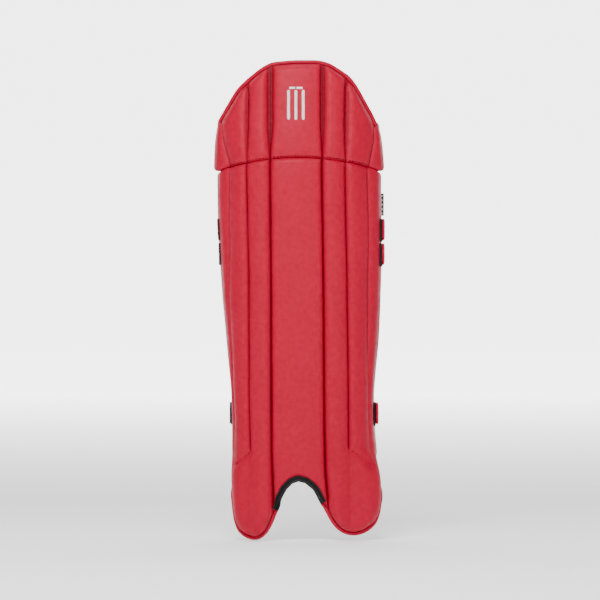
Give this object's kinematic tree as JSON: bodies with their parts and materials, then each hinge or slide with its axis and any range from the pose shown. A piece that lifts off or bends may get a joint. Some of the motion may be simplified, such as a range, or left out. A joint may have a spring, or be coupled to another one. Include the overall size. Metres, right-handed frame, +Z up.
{
  "type": "cricket leg pad",
  "caption": "Wicket keeper's leg pad with a padded, channelled front, hinged knee section, side wings, instep arch and hook-and-loop calf straps.",
  "frame": {"origin": "bottom centre of the pad's bounding box, at the height of the lowest lobe", "axes": "+Z up towards the knee, +X to the right of someone facing the pad, the stitched front looks along -Y and the leg goes in from +Y"},
  "size_m": [0.2338, 0.135, 0.659],
  "materials": {
    "channel_foam": "matte",
    "red_cover": "satin",
    "backing_board": "matte",
    "lining_cloth": "matte",
    "cushion_cloth": "matte",
    "red_piping": "satin",
    "black_binding": "matte",
    "red_binding": "satin",
    "strap_webbing": "matte",
    "anchor_webbing": "matte",
    "loop_pile": "matte",
    "tab_black": "matte",
    "tab_rim_red": "satin",
    "label_cloth": "satin",
    "emblem_white": "satin"
  },
  "bodies": {
    "shin_section": {"ankle_landing_patch": "loop_pile", "ankle_strap_anchor": "anchor_webbing", "instep_binding": "black_binding", "instep_cushion": "cushion_cloth", "left_bolster": "cushion_cloth", "left_edge_binding": "red_binding", "left_lobe_foam": "channel_foam", "left_lobe_piping": "red_piping", "left_wing_cushion": "cushion_cloth", "lower_landing_patch": "loop_pile", "lower_strap_anchor": "anchor_webbing", "right_bolster": "cushion_cloth", "right_edge_binding": "red_binding", "right_lobe_foam": "channel_foam", "right_lobe_piping": "red_piping", "right_wing_cushion": "cushion_cloth", "shin_board": "backing_board", "shin_centre_bar": "channel_foam", "shin_cover": "red_cover", "shin_left_inner_bar": "channel_foam", "shin_left_outer_bar": "channel_foam", "shin_left_wing_bar": "channel_foam", "shin_lining": "lining_cloth", "shin_right_inner_bar": "channel_foam", "shin_right_outer_bar": "channel_foam", "shin_right_wing_bar": "channel_foam", "side_label": "label_cloth", "upper_landing_patch": "loop_pile", "upper_strap_anchor": "anchor_webbing"},
    "knee_section": {"emblem": "emblem_white", "knee_board": "backing_board", "knee_centre_bar": "channel_foam", "knee_cover": "red_cover", "knee_left_inner_bar": "channel_foam", "knee_left_outer_bar": "channel_foam", "knee_left_wing_bar": "channel_foam", "knee_lining": "lining_cloth", "knee_right_inner_bar": "channel_foam", "knee_right_outer_bar": "channel_foam", "knee_right_wing_bar": "channel_foam", "knee_roll_lower": "cushion_cloth", "knee_roll_upper": "cushion_cloth", "top_piping": "red_piping"},
    "upper_strap_body": {"upper_strap": "strap_webbing"},
    "upper_tab_body": {"upper_tab": "tab_black", "upper_tab_rim": "tab_rim_red"},
    "lower_strap_body": {"lower_strap": "strap_webbing"},
    "lower_tab_body": {"lower_tab": "tab_black", "lower_tab_rim": "tab_rim_red"},
    "ankle_strap_body": {"ankle_strap": "strap_webbing"},
    "ankle_tab_body": {"ankle_tab": "tab_black", "ankle_tab_rim": "tab_rim_red"}
  },
  "joints": [
    {"name": "knee_flex", "type": "hinge", "parent": "shin_section", "child": "knee_section", "pos_m": [0, -0.0437, 0.51581], "axis": [1, 0, 0], "range_deg": [-5, 15], "stiffness_Nm_per_rad": 3},
    {"name": "upper_strap_swing", "type": "hinge", "parent": "shin_section", "child": "upper_strap_body", "pos_m": [-0.11308, 0.0283, 0.42801], "axis": [0, 0, 1], "range_deg": [0, 100]},
    {"name": "upper_tab_peel", "type": "hinge", "parent": "upper_strap_body", "child": "upper_tab_body", "pos_m": [0.11511, 0.0283, 0.42801], "axis": [0, 0, 1], "range_deg": [0, 120]},
    {"name": "lower_strap_swing", "type": "hinge", "parent": "shin_section", "child": "lower_strap_body", "pos_m": [-0.11225, 0.0283, 0.39401], "axis": [0, 0, 1], "range_deg": [0, 100]},
    {"name": "lower_tab_peel", "type": "hinge", "parent": "lower_strap_body", "child": "lower_tab_body", "pos_m": [0.11492, 0.0283, 0.39401], "axis": [0, 0, 1], "range_deg": [0, 120]},
    {"name": "ankle_strap_swing", "type": "hinge", "parent": "shin_section", "child": "ankle_strap_body", "pos_m": [-0.09716, 0.0283, 0.17381], "axis": [0, 0, 1], "range_deg": [0, 100]},
    {"name": "ankle_tab_peel", "type": "hinge", "parent": "ankle_strap_body", "child": "ankle_tab_body", "pos_m": [0.1065, 0.0283, 0.17381], "axis": [0, 0, 1], "range_deg": [0, 120]}
  ]
}
